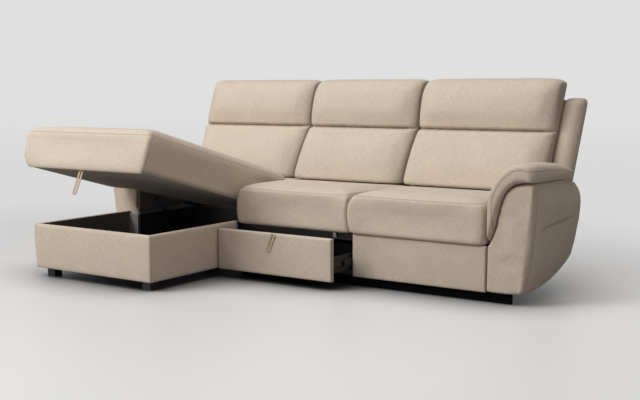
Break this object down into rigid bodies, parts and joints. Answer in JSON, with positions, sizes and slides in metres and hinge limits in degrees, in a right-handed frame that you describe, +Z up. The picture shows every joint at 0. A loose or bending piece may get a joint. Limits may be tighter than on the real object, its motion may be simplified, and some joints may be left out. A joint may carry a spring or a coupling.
{
  "type": "storage sofa with lift up seat",
  "caption": "Chaise sofa with padded arms and leaning back cushions; the chaise seat lifts on gas struts over a storage box, and the middle seat has a drawer under it.",
  "frame": {"origin": "on the floor under the middle of the whole sofa, chaise included", "axes": "+X along the sofa towards the plain end seat, -Y towards the front, where a sitter's feet go, +Z up"},
  "size_m": [2.5228, 1.6141, 0.986],
  "materials": {
    "upholstery": "woven upholstery fabric, warm beige, matt",
    "rear_cloth": "plain woven cloth over board, matt",
    "black_cloth": "black lining cloth, matt",
    "webbing": "black elastic webbing",
    "pull_strap": "folded beige strap",
    "frame_board": "raw plywood",
    "black_board": "board with a black face, matt",
    "leg_black": "black lacquered wood, satin",
    "steel_dark": "black powder coat",
    "steel_zinc": "zinc plated steel"
  },
  "bodies": {
    "base": {"chaise_front_board": "frame_board", "chaise_side_board_left": "frame_board", "chaise_side_board_right": "frame_board", "chaise_cover": "upholstery", "chaise_return_board": "black_board", "chaise_inner_board": "black_board", "chaise_rear_board": "black_board", "chaise_floor_front": "black_board", "chaise_floor_rear": "black_board", "chaise_lining": "black_cloth", "chaise_rear_ledge": "rear_cloth", "base_divider_left": "black_board", "base_divider_right": "black_board", "base_end_board": "black_board", "base_rear_board": "frame_board", "base_bottom_board": "black_board", "base_front_rail": "black_board", "base_plinth": "black_board", "right_front_board": "frame_board", "right_front_cover": "upholstery", "deck_frame_middle": "black_board", "deck_frame_right": "black_board", "deck_webbing": "webbing", "seat_cushion_middle": "upholstery", "seat_cushion_right": "upholstery", "arm_body_left": "upholstery", "arm_body_right": "upholstery", "arm_pad_left": "upholstery", "arm_pad_right": "upholstery", "back_posts": "frame_board", "back_rails": "frame_board", "back_webbing": "webbing", "back_cover_lower": "rear_cloth", "back_cover_upper": "rear_cloth", "back_wing_left": "upholstery", "back_wing_right": "upholstery", "back_cushion_left": "upholstery", "back_cushion_middle": "upholstery", "back_cushion_right": "upholstery", "legs": "leg_black", "leg_bolts": "steel_zinc", "hinge_uprights": "steel_dark", "strut_feet": "steel_zinc", "runner_rails_fixed": "steel_dark", "drawer_stop_bracket": "steel_zinc"},
    "lid": {"lid_board": "frame_board", "lid_cushion": "upholstery", "lid_lining": "black_cloth", "lid_hinge_arms": "steel_dark", "lid_hinge_pins": "steel_zinc", "lid_strut_brackets": "steel_dark", "lid_pull_loop": "pull_strap"},
    "strut_tubes": {"strut_cylinders": "steel_dark"},
    "strut_shafts": {"strut_rods": "steel_zinc"},
    "runner_middles": {"runner_rails_middle": "steel_dark"},
    "drawer": {"drawer_front_board": "frame_board", "drawer_front_cover": "upholstery", "drawer_box": "black_board", "runner_rails_drawer": "steel_zinc", "drawer_pull_loop": "pull_strap"}
  },
  "joints": [
    {"name": "lid_hinge", "type": "hinge", "parent": "base", "child": "lid", "pos_m": [0, 0.302, 0.42], "axis": [-1, 0, 0], "range_deg": [-15, 0], "stiffness_Nm_per_rad": 320, "springref_deg": 65.89},
    {"name": "strut_turn", "type": "hinge", "parent": "base", "child": "strut_tubes", "pos_m": [0, 0.222, 0.09], "axis": [-1, 0, 0], "range_deg": [-9, 1]},
    {"name": "strut_slide", "type": "slide", "parent": "strut_tubes", "child": "strut_shafts", "axis": [0, -0.7309, 0.6825], "range_m": [-0.085, 0.002]},
    {"name": "drawer_slide", "type": "slide", "parent": "base", "child": "drawer", "axis": [0, -1, 0], "range_m": [-0.171, 0.209]},
    {"name": "runner_slide", "type": "slide", "parent": "base", "child": "runner_middles", "axis": [0, -1, 0], "range_m": [-0.0857, 0.1047]}
  ],
  "couplings": [
    {"joint": "strut_turn", "follows": "lid_hinge", "ratio": 0.5438},
    {"joint": "strut_slide", "follows": "lid_hinge", "m_per_rad": 0.3051},
    {"joint": "runner_slide", "follows": "drawer_slide", "ratio": 0.5}
  ]
}
